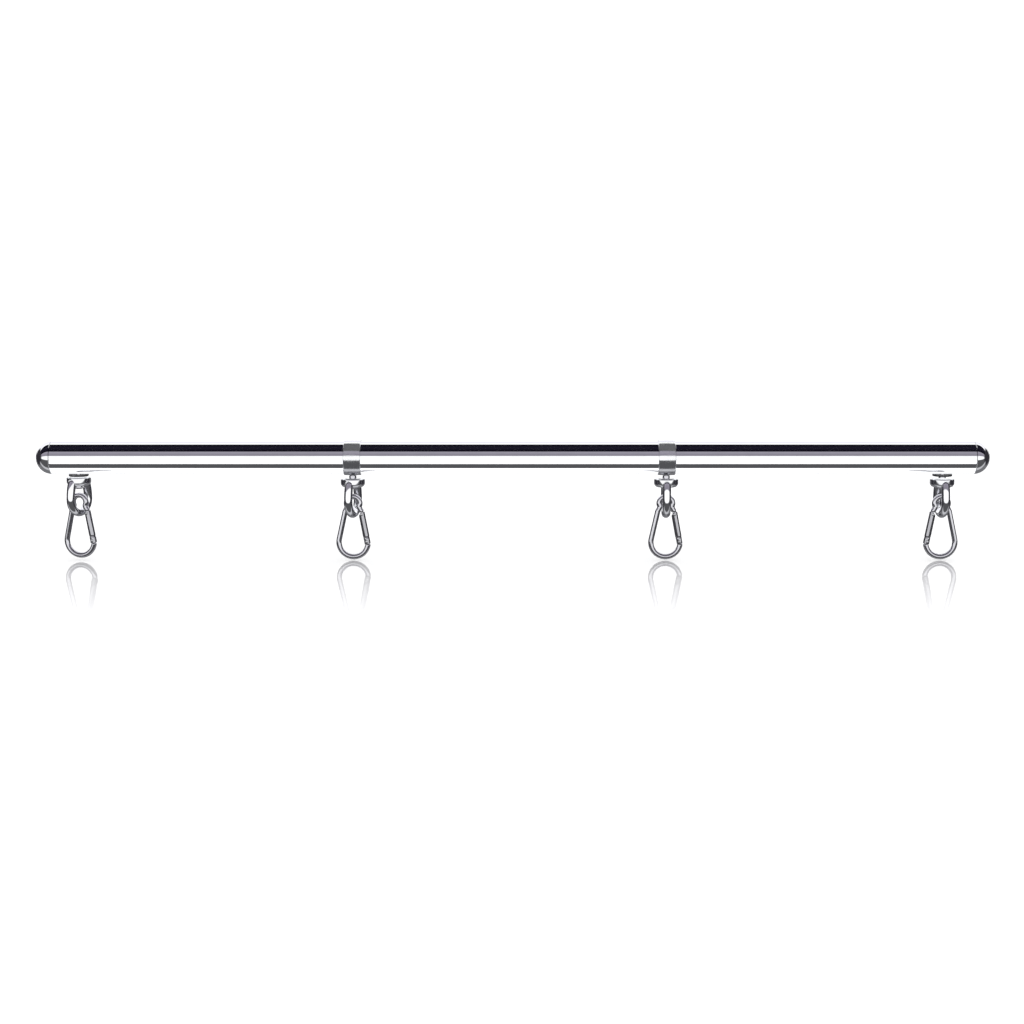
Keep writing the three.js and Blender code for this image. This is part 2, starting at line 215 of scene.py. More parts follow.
def mesh_object(name, vertices, faces):
    mesh = bpy.data.meshes.new(name)
    mesh.from_pydata([[c * MM for c in v] for v in vertices], [], faces)
    work = bmesh.new()
    work.from_mesh(mesh)
    bmesh.ops.remove_doubles(work, verts=work.verts, dist=1e-7)
    bmesh.ops.dissolve_degenerate(work, edges=work.edges, dist=1e-7)
    bmesh.ops.recalc_face_normals(work, faces=work.faces)
    work.to_mesh(mesh)
    work.free()
    thing = bpy.data.objects.new(name, mesh)
    bpy.context.scene.collection.objects.link(thing)
    return thing


def turned(name, outline, sides, closed=False):
    """An outline of (radius, height) pairs turned about Z. A closed one leaves a hole along the axis."""
    vertices, faces = [], []
    rows = len(outline)
    for i in range(sides):
        angle = 2 * math.pi * i / sides
        vertices += [(r * math.cos(angle), r * math.sin(angle), z) for r, z in outline]
    for i in range(sides):
        this, after = i * rows, (i + 1) % sides * rows
        for k in range(rows if closed else rows - 1):
            up = (k + 1) % rows
            faces.append((this + k, after + k, after + up, this + up))
    return mesh_object(name, vertices, faces)


def swept(name, line, section, sides):
    """A solid along a line in the X-Z plane.

    section(i) gives its half-width, half-thickness and squareness."""
    vertices, faces = [], []
    last = len(line) - 1
    for i, (x, z) in enumerate(line):
        before, after = line[max(i - 1, 0)], line[min(i + 1, last)]
        along = Vector((after[0] - before[0], after[1] - before[1])).normalized()
        wide, thick, square = section(i)
        for k in range(sides):
            angle = 2 * math.pi * (k + 0.5) / sides
            c, s = math.cos(angle), math.sin(angle)
            across = math.copysign(abs(c) ** (2 / square), c) * wide
            depth = math.copysign(abs(s) ** (2 / square), s) * thick
            vertices.append((x + along.y * across, depth, z - along.x * across))
    for i in range(last):
        for k in range(sides):
            a, b = i * sides + k, i * sides + (k + 1) % sides
            faces.append((a, b, b + sides, a + sides))
    faces.append(tuple(range(sides)))
    faces.append(tuple(last * sides + k for k in range(sides)))
    return mesh_object(name, vertices, faces)


def block(name, size, place):
    """A cutting block, centred on a place."""
    corners = [(x, y, z) for x in (-0.5, 0.5) for y in (-0.5, 0.5) for z in (-0.5, 0.5)]
    vertices = [tuple(c * s + p for c, s, p in zip(corner, size, place)) for corner in corners]
    faces = [(0, 1, 3, 2), (4, 6, 7, 5), (0, 4, 5, 1), (2, 3, 7, 6), (0, 2, 6, 4), (1, 5, 7, 3)]
    return mesh_object(name, vertices, faces)


def combined(thing, other, operation):
    """thing with other joined to it or cut out of it."""
    change = thing.modifiers.new("change", "BOOLEAN")
    change.operation = operation
    change.solver = "EXACT"
    change.object = other
    graph = bpy.context.evaluated_depsgraph_get()
    result = bpy.data.meshes.new_from_object(thing.evaluated_get(graph))
    thing.modifiers.clear()
    thing.data = result
    bpy.data.objects.remove(other)
    return thing


def smooth(thing, angle=32):
    thing.data.polygons.foreach_set("use_smooth", [True] * len(thing.data.polygons))
    thing.data.set_sharp_from_angle(angle=math.radians(angle))
    return thing


# Node materials


class Finish:
    """A metal's node tree, with short ways to add the nodes that vary it."""

    def __init__(self, name, colour, roughness, metallic=1.0):
        self.material = bpy.data.materials.new(name)
        self.material.use_nodes = True
        self.tree = self.material.node_tree
        self.shader = self.tree.nodes["Principled BSDF"]
        self.shader.inputs["Metallic"].default_value = metallic
        self.colour = colour
        self.roughness = roughness
        self.place = self.add("ShaderNodeTexCoord").outputs["Object"]

    def add(self, kind, **values):
        node = self.tree.nodes.new(kind)
        for key, value in values.items():
            setattr(node, key, value)
        return node

    def link(self, source, target):
        self.tree.links.new(source, target)

    def noise(self, scale, detail=4, stretch=(1, 1, 1), roughness=0.55):
        """Noise of so many grains in a metre, drawn out along an axis by a small stretch value."""
        mapping = self.add("ShaderNodeMapping")
        mapping.inputs["Scale"].default_value = stretch
        self.link(self.place, mapping.inputs["Vector"])
        noise = self.add("ShaderNodeTexNoise")
        noise.inputs["Scale"].default_value = scale
        noise.inputs["Detail"].default_value = detail
        noise.inputs["Roughness"].default_value = roughness
        self.link(mapping.outputs["Vector"], noise.inputs["Vector"])
        return noise.outputs["Fac"]

    def ranged(self, value, low, high, start=0.3, stop=0.7):
        node = self.add("ShaderNodeMapRange")
        node.inputs["From Min"].default_value = start
        node.inputs["From Max"].default_value = stop
        node.inputs["To Min"].default_value = low
        node.inputs["To Max"].default_value = high
        self.link(value, node.inputs["Value"])
        return node.outputs["Result"]

    def math(self, operation, a, b):
        node = self.add("ShaderNodeMath", operation=operation)
        for socket, value in zip(node.inputs, (a, b)):
            if isinstance(value, (int, float)):
                socket.default_value = value
            else:
                self.link(value, socket)
        return node.outputs["Value"]

    def tint(self, value, dark):
        """The base colour, towards a darker one where the value is high."""
        mix = self.add("ShaderNodeMix", data_type="RGBA")
        mix.inputs["A"].default_value = (*self.colour, 1)
        mix.inputs["B"].default_value = (*dark, 1)
        self.link(value, mix.inputs["Factor"])
        self.link(mix.outputs["Result"], self.shader.inputs["Base Color"])

    def bump(self, height, strength, distance):
        node = self.add("ShaderNodeBump")
        node.inputs["Strength"].default_value = strength
        node.inputs["Distance"].default_value = distance
        self.link(height, node.inputs["Height"])
        self.link(node.outputs["Normal"], self.shader.inputs["Normal"])

    def set_roughness(self, value):
        self.link(value, self.shader.inputs["Roughness"])


def polished_chrome(name, colour, roughness, stretch, wave):
    """Bright plate: hairlines from polishing, patches of handling haze and a slight waviness."""
    finish = Finish(name, colour, roughness)
    hairlines = finish.noise(2600, 3, stretch)
    haze = finish.noise(70, 4)
    fine = finish.ranged(hairlines, 0, roughness * 0.7, 0.52, 0.75)
    patches = finish.ranged(haze, roughness * 0.5, roughness * 1.3)
    finish.set_roughness(finish.math("ADD", fine, patches))
    finish.tint(finish.ranged(haze, 0, 1, 0.35, 0.8), tuple(c * 0.93 for c in colour))
    ripple = finish.noise(45, 2)
    height = finish.math("ADD", finish.math("MULTIPLY", hairlines, 0.02), ripple)
    finish.bump(height, wave, 0.0004)
    return finish.material


def bare_steel(name, colour, roughness):
    """Drawn steel: fine lines along the wire or pin, and dull spots."""
    finish = Finish(name, colour, roughness)
    lines = finish.noise(1500, 5, (1, 1, 0.15))
    spots = finish.noise(420, 3)
    finish.set_roughness(finish.ranged(lines, roughness * 0.7, roughness * 1.4))
    finish.tint(finish.ranged(spots, 0, 1, 0.4, 0.75), tuple(c * 0.7 for c in colour))
    finish.bump(lines, 0.15, 0.00005)
    return finish.material


def shade_black_rubbed(name, colour, roughness):
    """Black that stands for painted shade, with a fine grain, rubbed lighter in places."""
    finish = Finish(name, colour, roughness, 0.3)
    grain = finish.noise(3000, 3)
    rubbed = finish.noise(350, 4)
    finish.set_roughness(finish.ranged(rubbed, roughness * 1.2, roughness * 0.7))
    finish.tint(finish.ranged(rubbed, 0, 1, 0.5, 0.8), tuple(c * 2.2 + 0.01 for c in colour))
    finish.bump(grain, 0.3, 0.00005)
    return finish.material


def colour_of(slot):
    found = [m for m in frame["record"]["materials"] if m["slot"] == slot]
    return tuple(found[0]["base_color"])


BRIGHT = colour_of("chrome")
PLATE = tuple(1.2 * c for c in colour_of("plated"))  # painted highlight: the plated colour made brighter for the hooks' wire and rivets
# painted shade: a darker copy of the same plate for the gate, which catches no highlight
SHADED_GATE_PLATE = tuple(0.72 * c for c in PLATE)
AROUND_TUBE = (1, 0.05, 0.05)
tube_chrome = polished_chrome("tube_chrome", BRIGHT, 0.045, AROUND_TUBE, 0.02)
band_chrome = polished_chrome("band_chrome", BRIGHT, 0.15, AROUND_TUBE, 0.12)
eye_chrome = polished_chrome("eye_chrome", BRIGHT, 0.07, (1, 1, 0.3), 0.1)
wire_plate = polished_chrome("wire_plate", PLATE, 0.11, (0.4, 1, 0.4), 0.12)
shaded_gate_plate = polished_chrome("shaded_gate_plate", SHADED_GATE_PLATE, 0.11, (1, 1, 0.3), 0.12)
pin_steel = bare_steel("pin_steel", colour_of("steel"), 0.28)
# painted shade: the washers' black stands for the shade in the gap between the bar and each end swivel
shade_black_washer = shade_black_rubbed("shade_black_washer", colour_of("black"), 0.42)


# Placing


def settled(thing, node, body, material, place):
    """A copy of a drawn piece, put in its place for a CAD node."""
    mesh = thing.data.copy()
    mesh.transform(place)
    mesh.materials.clear()
    mesh.materials.append(material)
    piece = bpy.data.objects.new(node + "_visual", mesh)
    bpy.context.scene.collection.objects.link(piece)
    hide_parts(node)
    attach(piece, body)
    return piece


def moved(x=0.0, y=0.0, z=0.0, yaw=0.0):
    """The place at x, y, z in metres, turned about the vertical."""
    return Matrix.Translation((x, y, z)) @ Matrix.Rotation(yaw, 4, "Z")


def middle(node):
    low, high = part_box(node)
    return (low + high) / 2


# Bar


def bar_tube():
    half = (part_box("bar_tube")[1].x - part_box("bar_tube")[0].x) / 2 / MM
    corners = [(TUBE_BORE, -half), (TUBE_RADIUS, -half), (TUBE_RADIUS, half), (TUBE_BORE, half)]
    return smooth(turned("tube", eased(corners, 0.35, closed=True), 2 * ROUND, closed=True))


def end_cap():
    """The dome faces +Z from its shoulder at 0. Its edge is eased where it meets the tube."""
    hollow = SPIGOT_RADIUS - CAP_WALL
    edge = 0.25
    inner = [
        (0, CAP_DEPTH - 3.4),
        (hollow * 0.7, CAP_DEPTH * 0.55),
        (hollow, 0),
        (hollow, -SPIGOT_LENGTH),
        (SPIGOT_RADIUS, -SPIGOT_LENGTH),
        (SPIGOT_RADIUS, 0),
        (TUBE_RADIUS - edge, 0),
    ]
    quarter = arc(0, 0, 1, math.asin(edge / CAP_DEPTH), math.pi / 2, 28)
    dome = [(TUBE_RADIUS * x, CAP_DEPTH * z) for x, z in quarter]
    return smooth(turned("cap", eased(inner, 0.5) + dome, 2 * ROUND))


def end_washer(height):
    bore = TENON_RADIUS + 0.2
    corners = [(bore, 0), (WASHER_RADIUS, 0), (WASHER_RADIUS, height), (bore, height)]
    return smooth(turned("washer", eased(corners, 0.3, closed=True), ROUND, closed=True))


def swivel_rivet(journal_top, head):
    """From the lowest point of its button head: button, journal, tenon and the given head above."""
    rim = (BUTTON_RADIUS, BUTTON_HEIGHT * 0.7)
    button = bezier((0, 0), (BUTTON_RADIUS * 0.6, 0), (BUTTON_RADIUS, 0.35), rim, 12)
    shank = [
        (BUTTON_RADIUS, BUTTON_HEIGHT),
        (JOURNAL_RADIUS, BUTTON_HEIGHT),
        (JOURNAL_RADIUS, journal_top),
        (TENON_RADIUS, journal_top),
        *head,
    ]
    return smooth(turned("rivet", button + eased(shank, 0.22), FINE))


def collar_band():
    """The band's edges are eased, and it stands a little proud along its middle, where it was rolled."""
    half = BAND_WIDTH / 2
    edge = 0.55
    crown = 0.12
    outer = []
    for i in range(13):
        t = i / 6 - 1
        outer.append((BAND_RADIUS - crown * t * t, t * (half - edge)))
    low = BAND_RADIUS - 0.35
    corners = [(BAND_BORE, -half), (low, -half), *outer, (low, half), (BAND_BORE, half)]
    band = turned("band", eased(corners, 0.3, 4, closed=True), 2 * ROUND, closed=True)
    band.data.transform(Matrix.Rotation(math.pi / 2, 4, "Y"))
    tenon = TENON_RADIUS + 0.2
    hole = [
        (0, -BAND_RADIUS - 1),
        (tenon, -BAND_RADIUS - 1),
        (tenon, SINK_BOTTOM),
        (SINK_RADIUS, -BAND_BORE),
        (SINK_RADIUS, 1 - BAND_BORE),
        (0, 1 - BAND_BORE),
    ]
    combined(band, turned("hole", hole, FINE), "DIFFERENCE")
    return smooth(band)


# Swivel eye


def ring_line():
    """The ring's centre line in its own plane, from one blister to the other."""
    end_angle = math.asin((RING_END - RING_CENTRE) / RING_RISE)
    points = []
    for i in range(181):
        angle = -end_angle + (2 * end_angle + math.pi) * i / 180
        rise = -math.sin(angle)
        half_height = RING_RISE if rise > 0 else RING_CENTRE - RING_BOTTOM
        points.append((-RING_HALF_WIDTH * math.cos(angle), RING_CENTRE + half_height * rise))
    return evenly(points, 0.5)


def ring_section(line):
    """The wire's half-width at each point, rounded off to a blister at both ends."""
    lengths = [0]
    for a, b in zip(line, line[1:]):
        lengths.append(lengths[-1] + math.dist(a, b))

    def section(i):
        reach = min(lengths[i], lengths[-1] - lengths[i])
        if reach >= RING_WIRE:
            return RING_WIRE, RING_WIRE, 2
        size = math.sqrt(max(RING_WIRE**2 - (RING_WIRE - reach) ** 2, 0.0004))
        return size, size, 2

    return section


def swivel_eye():
    corners = [
        (EYE_HOLE, -EYE_THICKNESS),
        (EYE_RADIUS - 2.4, -EYE_THICKNESS),
        (EYE_RADIUS - 1.2, 0.4 - EYE_THICKNESS),
        (EYE_RADIUS, 2.2 - EYE_THICKNESS),
        (EYE_RADIUS, -0.9),
        (EYE_RADIUS - 0.6, -0.3),
        (EYE_RADIUS - 2.4, 0),
        (EYE_HOLE, 0),
    ]
    eye = turned("eye", eased(corners, 0.4, 6, closed=True), ROUND, closed=True)
    base = ring_line()
    lead = RING_WIRE
    start, after = Vector(base[0]), Vector(base[1])
    back = (start - after).normalized() * lead
    line = evenly([tuple(start + back), *base, (-(start + back).x, (start + back).y)], 0.45)
    ring = swept("ring", line, ring_section(line), FINE)
    ring.data.transform(Matrix.Rotation(math.pi / 2, 4, "Z"))
    combined(eye, ring, "UNION")
    bore_corners = [(0, -EYE_THICKNESS - 1), (EYE_HOLE, -EYE_THICKNESS - 1), (EYE_HOLE, 1), (0, 1)]
    combined(eye, turned("bore", bore_corners, ROUND), "DIFFERENCE")
    return smooth(eye, 28)


# Snap hook


def on_gate_axis(height):
    return (HINGE[0] - height * math.sin(GATE_TILT), HINGE[1] + height * math.cos(GATE_TILT))


def hook_line():
    """The wire's centre line: hinge tongue, leg, eyelet, spine, bow, nose and nose tongue."""
    side = math.cos(NECK_TURN) * EYELET_RADIUS
    neck = (side, EYELET_CENTRE - math.sin(NECK_TURN) * EYELET_RADIUS)
    neck_pull = (side - NECK_PULL * math.sin(NECK_TURN), neck[1] - NECK_PULL * math.cos(NECK_TURN))
    leg = (LEG_X, LEG_Z)

    def leg_pull(tilt):
        return (LEG_X - LEG_PULL * math.sin(tilt), LEG_Z + LEG_PULL * math.cos(tilt))

    rising = bezier(leg, leg_pull(GATE_TILT), neck_pull, neck)
    eyelet = arc(0, EYELET_CENTRE, EYELET_RADIUS, -NECK_TURN, math.pi + NECK_TURN, 60)
    falling = [(-x, z) for x, z in reversed(bezier(leg, leg_pull(SPINE_TILT), neck_pull, neck))]
    bow = arc(0, BOW_CENTRE, BOW_RADIUS, math.pi - SPINE_TILT, 2 * math.pi - NOSE_TURN, 80)
    short = 0.6
    pull_out = (NOSE[0] + short * math.sin(NOSE_TURN), NOSE[1] + short * math.cos(NOSE_TURN))
    nose = bezier(NOSE, pull_out, on_gate_axis(GATE_BOTTOM - short / 2), on_gate_axis(GATE_BOTTOM + short), 8)
    tip = on_gate_axis(TONGUE_TIP)
    start = on_gate_axis(-TONGUE_HALF)
    return evenly([start, leg, *rising, *eyelet, *falling, *bow, *nose, tip], 0.25)


def hook_section(line):
    """Round wire, with a flat tongue at both ends: half-width, half-thickness and squareness."""
    lengths = [0]
    for a, b in zip(line, line[1:]):
        lengths.append(lengths[-1] + math.dist(a, b))
    hinge_shoulder = TONGUE_HALF + HINGE_DROP
    nose_shoulder = TONGUE_TIP - GATE_BOTTOM + 0.3
    step = 0.5

    def section(i):
        from_hinge, from_tip = lengths[i], lengths[-1] - lengths[i]
        inward = min(from_hinge - hinge_shoulder, from_tip - nose_shoulder)
        t = min(max(inward / step, 0), 1)
        t = math.sqrt(1 - (1 - t) ** 2)
        wide = TONGUE_HALF + (HOOK_WIRE - TONGUE_HALF) * t
        thick = TONGUE_THICKNESS / 2 + (HOOK_WIRE - TONGUE_THICKNESS / 2) * t
        if from_hinge < TONGUE_HALF:
            wide = math.sqrt(max(TONGUE_HALF**2 - (TONGUE_HALF - from_hinge) ** 2, 0.04))
        return wide, thick, 2 + 4 * (1 - t)

    return section


def gate_place():
    """Moves a piece drawn upright about the hinge onto the leaning gate axis."""
    lean = Matrix.Rotation(-GATE_TILT, 4, "Y")
    return Matrix.Translation((HINGE[0] * MM, 0, HINGE[1] * MM)) @ lean


def hook_body():
    line = hook_line()
    body = swept("hook", line, hook_section(line), FINE)
    half = PIN_RADIUS + 0.3
    reach = TONGUE_HALF + NOTCH_DEPTH + 1
    notch = block("notch", (reach, 4, 2 * half), (NOTCH_DEPTH - reach / 2, 0, LATCH_PIN))
    notch.data.transform(gate_place())
    combined(body, notch, "DIFFERENCE")
    return smooth(body, 40)


def hook_gate():
    """A tube with a slot for the nose, a crimp round it that holds the spring, and a bevelled top."""
    crimp = [(GATE_RADIUS, CRIMP - 0.9), (GATE_RADIUS - 0.22, CRIMP), (GATE_RADIUS, CRIMP + 0.9)]
    outer = [(GATE_RADIUS, GATE_BOTTOM), *crimp, (GATE_RADIUS, GATE_TOP)]
    corners = [(GATE_BORE, GATE_BOTTOM), *outer, (GATE_BORE, GATE_TOP)]
    gate = turned("gate", eased(corners, 0.25, 5, closed=True), FINE, closed=True)
    size = 2 * GATE_RADIUS + 2
    height = SLOT_TOP - GATE_BOTTOM + 1
    round_end = SLOT_WIDTH / 2
    slot_end = turned("slot_end", [(0, -size), (round_end, -size), (round_end, size), (0, size)], FINE)
    slot_end.data.transform(Matrix.Rotation(math.pi / 2, 4, "Y"))
    slot_end.data.transform(Matrix.Translation((0, 0, (SLOT_TOP - SLOT_WIDTH / 2) * MM)))
    straight = height - SLOT_WIDTH / 2
    slot = block("slot", (size, SLOT_WIDTH, straight), (0, 0, SLOT_TOP - SLOT_WIDTH / 2 - straight / 2))
    bevel = block("bevel", (size, size, size), (-size / 2, 0, size / 2))
    bevel.data.transform(Matrix.Rotation(-GATE_BEVEL, 4, "Y"))
    bevel.data.transform(Matrix.Translation((0, 0, GATE_TOP * MM)))
    for cutter in (slot_end, slot, bevel):
        combined(gate, cutter, "DIFFERENCE")
    return smooth(gate, 30)


def cross_rivet():
    """A pin along Y with a low domed head at both ends, outside the gate."""
    start = GATE_RADIUS + 0.2
    head = 1.85 * PIN_RADIUS
    rim = start + 0.08
    shoulder = start + 0.25
    top = start + 0.38
    dome = bezier((head, rim), (head, shoulder), (head * 0.6, top), (0, top), 8)
    half = [(PIN_RADIUS, start), (head, start), *dome]
    lower = [(r, -z) for r, z in reversed(half)]
    rivet = turned("cross_rivet", lower + half, 32)
    rivet.data.transform(Matrix.Rotation(math.pi / 2, 4, "X"))
    return smooth(rivet, 40)


def plunger():
    radius = GATE_BORE - 0.3
    top = -TONGUE_HALF - 0.3
    corners = [(0, SPRING_TOP + 0.6), (radius, SPRING_TOP + 0.6), (radius, top), (0, top)]
    return smooth(turned("plunger", eased(corners, 0.3), 32))


def spring():
    """Round wire wound about Z at an even pitch."""
    steps = 40 * SPRING_TURNS
    sides = 12
    vertices, faces = [], []
    for i in range(steps + 1):
        t = i / steps
        angle = 2 * math.pi * SPRING_TURNS * t
        height = SPRING_BOTTOM + (SPRING_TOP - SPRING_BOTTOM) * t
        c, s = math.cos(angle), math.sin(angle)
        for k in range(sides):
            turn = 2 * math.pi * k / sides
            r = SPRING_RADIUS + SPRING_WIRE * math.cos(turn)
            vertices.append((r * c, r * s, height + SPRING_WIRE * math.sin(turn)))
    for i in range(steps):
        for k in range(sides):
            a, b = i * sides + k, i * sides + (k + 1) % sides
            faces.append((a, b, b + sides, a + sides))
    faces.append(tuple(range(sides)))
    faces.append(tuple(steps * sides + k for k in range(sides)))
    return smooth(mesh_object("spring", vertices, faces))


# Assembly


def place_bar():
    along_x = Matrix.Rotation(math.pi / 2, 4, "Y")
    tube = bar_tube()
    settled(tube, "bar_tube", "bar", tube_chrome, Matrix.Translation(middle("bar_tube")) @ along_x)
    cap = end_cap()
    for side, end in ((-1, "left_end"), (1, "right_end")):
        node = end + "_cap"
        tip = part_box(node)[1].x if side > 0 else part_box(node)[0].x
        facing_out = Matrix.Rotation(side * math.pi / 2, 4, "Y")
        settled(cap, node, "bar", tube_chrome, moved(tip - side * CAP_DEPTH * MM) @ facing_out)
        # painted shade: a black washer put in the gap under the bar where shade falls
        washer_low, washer_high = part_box(end + "_washer")
        washer = end_washer((washer_high.z - washer_low.z) / MM)
        x = joints[end + "_swivel"]["pos_m"][0]
        piece = settled(washer, end + "_washer", "bar", shade_black_washer, moved(x, 0, washer_low.z))
        piece.visible_glossy = False
        bpy.data.objects.remove(washer)
    bpy.data.objects.remove(tube)
    bpy.data.objects.remove(cap)


def place_rivets():
    for name in FITTINGS:
        node = name + "_rivet"
        low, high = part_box(node)
        base = low.z / MM
        height = high.z / MM - base
        if name in ENDS:
            body = "bar"
            journal_top = END_JOURNAL_TOP - base
            under = height - HEAD_HEIGHT
            head = [(TENON_RADIUS, under), (HEAD_RADIUS, under), (HEAD_RADIUS, height), (0, height)]
        else:
            body = name
            journal_top = COLLAR_JOURNAL_TOP - base
            head = [(TENON_RADIUS, SINK_BOTTOM - base), (SINK_RADIUS - 0.2, height), (0, height)]
        rivet = swivel_rivet(journal_top, head)
        x = joints[name + "_swivel"]["pos_m"][0]
        piece = settled(rivet, node, body, wire_plate, moved(x, 0, low.z))
        piece.visible_glossy = name in COLLARS
        bpy.data.objects.remove(rivet)


def place_collars():
    band = collar_band()
    for name in COLLARS:
        x = joints[name + "_swivel"]["pos_m"][0]
        settled(band, name + "_band", name, band_chrome, moved(x))
    bpy.data.objects.remove(band)


def place_fittings():
    eye = swivel_eye()
    hook_parts = {
        "hook_body": (hook_body(), wire_plate, "hook", Matrix.Identity(4)),
        "hook_gate": (hook_gate(), shaded_gate_plate, "gate", gate_place()),
        "gate_rivet": (cross_rivet(), pin_steel, "gate", gate_place()),
        "latch_pin": (cross_rivet(), pin_steel, "gate", gate_place() @ moved(z=LATCH_PIN * MM)),
        "gate_plunger": (plunger(), pin_steel, "gate", gate_place()),
        "gate_spring": (spring(), pin_steel, "gate", gate_place()),
    }
    for name in FITTINGS:
        swing = joints[name + "_swing"]
        hinge = joints[name + "_gate_hinge"]
        ring_yaw = math.atan2(-swing["axis"][0], swing["axis"][1])
        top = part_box(name + "_swivel_eye")[1].z
        eye_place = moved(swing["pos_m"][0], 0, top, ring_yaw)
        piece = settled(eye, name + "_swivel_eye", name + "_eye", eye_chrome, eye_place)
        piece.visible_glossy = False
        hook_yaw = math.atan2(-hinge["axis"][0], hinge["axis"][1])
        hook_place = moved(*swing["pos_m"], hook_yaw)
        for part, (thing, material, body, inner) in hook_parts.items():
            settled(thing, f"{name}_{part}", f"{name}_{body}", material, hook_place @ inner)
    bpy.data.objects.remove(eye)
    for thing, *_ in hook_parts.values():
        bpy.data.objects.remove(thing)


# Studio


def studio_world():
    """What the metal mirrors: bands along the bar, and dark walls at its ends.

    Everything else sees an even white."""
    world = bpy.data.worlds.new("studio")
    bpy.context.scene.world = world
    world.use_nodes = True
    nodes, links = world.node_tree.nodes, world.node_tree.links
    background = nodes["Background"]

    def add(kind, **values):
        node = nodes.new(kind)
        for key, value in values.items():
            setattr(node, key, value)
        return node

    def maths(operation, a, b=0.0):
        node = add("ShaderNodeMath", operation=operation)
        for socket, value in zip(node.inputs, (a, b)):
            if isinstance(value, (int, float)):
                socket.default_value = value
            else:
                links.new(value, socket)
        return node.outputs["Value"]

    def ramp(value, stops):
        node = add("ShaderNodeValToRGB")
        node.color_ramp.interpolation = "LINEAR"
        elements = node.color_ramp.elements
        while len(elements) < len(stops):
            elements.new(0.5)
        for element, (position, colour) in zip(elements, stops):
            element.position = position
            element.color = (*colour, 1)
        links.new(value, node.inputs["Fac"])
        return node.outputs["Color"]

    direction = add("ShaderNodeSeparateXYZ")
    links.new(add("ShaderNodeTexCoord").outputs["Generated"], direction.inputs["Vector"])
    x, y, z = (direction.outputs[axis] for axis in "XYZ")
    over = maths("ARCTAN2", z, maths("MULTIPLY", y, -1))
    turn = maths("ADD", maths("DIVIDE", over, 2 * math.pi), 0.5)

    even_white = (1.4, 1.4, 1.4)
    wall_colour = (0.035, 0.033, 0.04)
    white = (1.25, 1.25, 1.25)
    lavender = (1.03, 1.0, 1.1)
    gray_low, gray_high = (0.27, 0.25, 0.3), (0.4, 0.375, 0.44)
    black, edge_black = (0.014, 0.012, 0.024), (0.003, 0.002, 0.006)
    dark = (0.1, 0.1, 0.105)
    under = (0.6, 0.6, 0.62)
    shade = (0.2, 0.2, 0.21)
    # Each edge: its angle over the bar's axis (0 in front, 90 overhead), then the colours below and above it
    edges = [
        (-95, shade, under),
        (-73, under, dark),
        (-12, dark, white),
        (17.5, white, gray_low),
        (48.5, gray_high, edge_black),
        (111, edge_black, white),
        (128, white, lavender),
        (150, lavender, white),
    ]
    soft = 1  # half-width of an edge, in degrees
    stops = [(0, shade)]
    for angle, below, above in edges:
        stops.append(((angle - soft + 180) / 360, below))
        stops.append(((angle + soft + 180) / 360, above))
    middle_of_black = (78 + 180) / 360
    stops.append((middle_of_black, black))
    stops.append((1, white))
    stops.sort(key=lambda stop: stop[0])
    bands = ramp(turn, stops)

    side = maths("ABSOLUTE", x)
    wall_start = 0.9
    start_behind = 0.55
    wall_blur = 0.07
    behind = maths("MULTIPLY", maths("MAXIMUM", y, 0), wall_start - start_behind)
    limit = maths("SUBTRACT", wall_start, behind)
    into_dark = maths("DIVIDE", maths("SUBTRACT", side, limit), wall_blur)
    wall = add("ShaderNodeClamp")
    links.new(into_dark, wall.inputs["Value"])
    mixed = add("ShaderNodeMix", data_type="RGBA")
    mixed.inputs["B"].default_value = (*wall_colour, 1)
    links.new(wall.outputs["Result"], mixed.inputs["Factor"])
    links.new(bands, mixed.inputs["A"])

    rays = add("ShaderNodeLightPath")
    shown = add("ShaderNodeMix", data_type="RGBA")
    shown.inputs["A"].default_value = (*even_white, 1)
    links.new(rays.outputs["Is Glossy Ray"], shown.inputs["Factor"])
    links.new(mixed.outputs["Result"], shown.inputs["B"])
    links.new(shown.outputs["Result"], background.inputs["Color"])


def floor_material():
    """Pale, with a gloss around the bar that fades towards the viewer."""
    finish = Finish("pale_floor", (0.86, 0.86, 0.87), 0.5, 0.0)
    cloud = finish.noise(3, 2)
    finish.tint(finish.ranged(cloud, 0, 1), (0.85, 0.85, 0.86))
    finish.set_roughness(finish.ranged(cloud, finish.roughness, finish.roughness * 1.3))
    finish.shader.inputs["Specular IOR Level"].default_value = 0
    mirror = finish.add("ShaderNodeBsdfAnisotropic")
    mirror.inputs["Roughness"].default_value = 0.03
    across = finish.add("ShaderNodeSeparateXYZ")
    finish.link(finish.place, across.inputs["Vector"])
    polished = finish.add("ShaderNodeMixShader")
    nearer = finish.ranged(across.outputs["Y"], 0, 0.6, -0.27, -0.02)
    beyond = finish.ranged(across.outputs["Y"], 1, 0, 0.04, 0.2)
    beside = finish.ranged(finish.math("ABSOLUTE", across.outputs["X"], 0), 1, 0, 0.4, 0.5)
    gloss = finish.math("MULTIPLY", nearer, finish.math("MULTIPLY", beyond, beside))
    finish.link(gloss, polished.inputs["Fac"])
    finish.link(finish.shader.outputs["BSDF"], polished.inputs[1])
    finish.link(mirror.outputs["BSDF"], polished.inputs[2])
    finish.link(polished.outputs["Shader"], finish.tree.nodes["Material Output"].inputs["Surface"])
    return finish.material


def floor_level():
    return cad_bounds[0].z - 0.8 * MM


def studio_floor():
    bpy.ops.mesh.primitive_plane_add(size=60, location=(0, 0, floor_level()))
    floor = bpy.context.object
    floor.name = "floor"
    floor.data.materials.append(floor_material())
    floor.visible_glossy = False


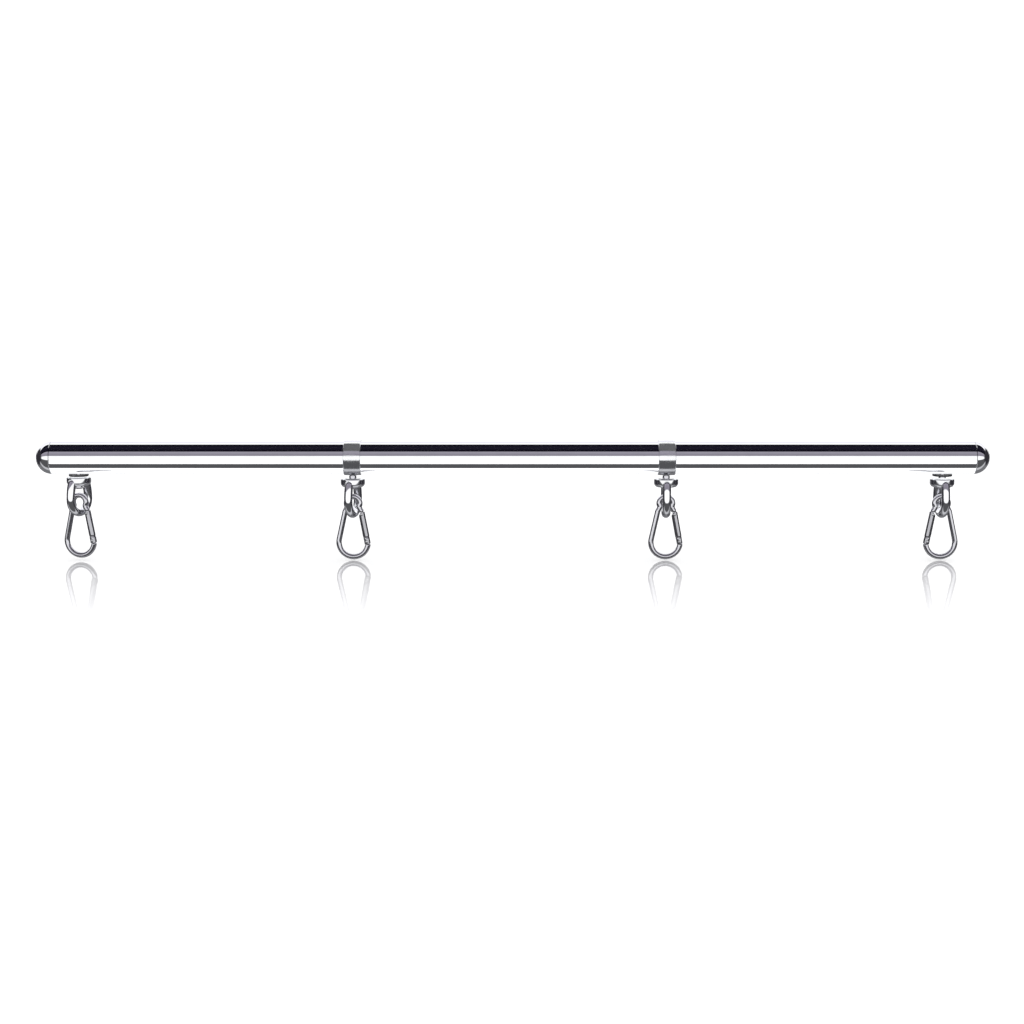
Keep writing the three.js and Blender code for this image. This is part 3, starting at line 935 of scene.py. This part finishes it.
def lamp_for(name, receivers, place, lean, depth, radiance):
    """A long lamp beside the bar that lights some pieces alone. Its lean is its turn about X."""
    lamp = bpy.data.lights.new(name, "AREA")
    lamp.shape = "RECTANGLE"
    lamp.size = 1.4  # well past the bar at both ends
    lamp.size_y = depth
    lamp.energy = radiance * math.pi * lamp.size * lamp.size_y
    holder = bpy.data.objects.new(name, lamp)
    bpy.context.scene.collection.objects.link(holder)
    holder.location = place
    holder.rotation_euler = (lean, 0, 0)
    holder.visible_camera = False
    lit = bpy.data.collections.new(name + "_receivers")
    for node in receivers:
        lit.objects.link(bpy.data.objects[node + "_visual"])
    holder.light_linking.receiver_collection = lit


def studio_lamps():
    """The tube mirrors two white strips, in front and below, and the bands a dim one overhead.

    Each strip fills the given angles, counted over the bar's axis from the front."""
    away = 0.3
    top, bottom = (away * math.tan(math.radians(angle)) for angle in (-12, -39.5))
    front = (0, -away, (top + bottom) / 2)
    lamp_for("front_lamp", ["bar_tube"], front, math.pi / 2, top - bottom, 1.3)

    floor_gap = 0.5 * MM
    height = floor_level() + floor_gap
    near, far = (height / math.tan(math.radians(angle)) for angle in (-70, -150))
    low = (0, -(near + far) / 2, height)
    lamp_for("low_lamp", ["bar_tube"], low, math.pi, abs(near - far), 1.15)

    near, far = (away / math.tan(math.radians(angle)) for angle in (48.5, 108))
    high = (0, -(near + far) / 2, away)
    lamp_for("high_lamp", ["left_collar_band", "right_collar_band"], high, 0, abs(near - far), 0.11)


def studio_camera():
    """Level with the bar's middle and a little above it."""
    low, high = cad_bounds
    target = Vector(((low.x + high.x) / 2 - 0.6 * MM, 0, -42 * MM))
    distance = 1.6
    seen_width = 0.783
    elevation = math.radians(8.5)
    lens = bpy.data.cameras.new("camera")
    lens.sensor_width = 36
    lens.lens = lens.sensor_width * distance / seen_width
    camera = bpy.data.objects.new("camera", lens)
    bpy.context.scene.collection.objects.link(camera)
    back = Vector((0, -math.cos(elevation), math.sin(elevation)))
    camera.location = target + back * distance
    camera.rotation_mode = "QUATERNION"
    camera.rotation_quaternion = (-back).to_track_quat("-Z", "Y")
    bpy.context.scene.camera = camera


place_bar()
place_rivets()
place_collars()
place_fittings()
studio_world()
studio_floor()
studio_lamps()
studio_camera()
bpy.context.scene.view_settings.view_transform = "Standard"
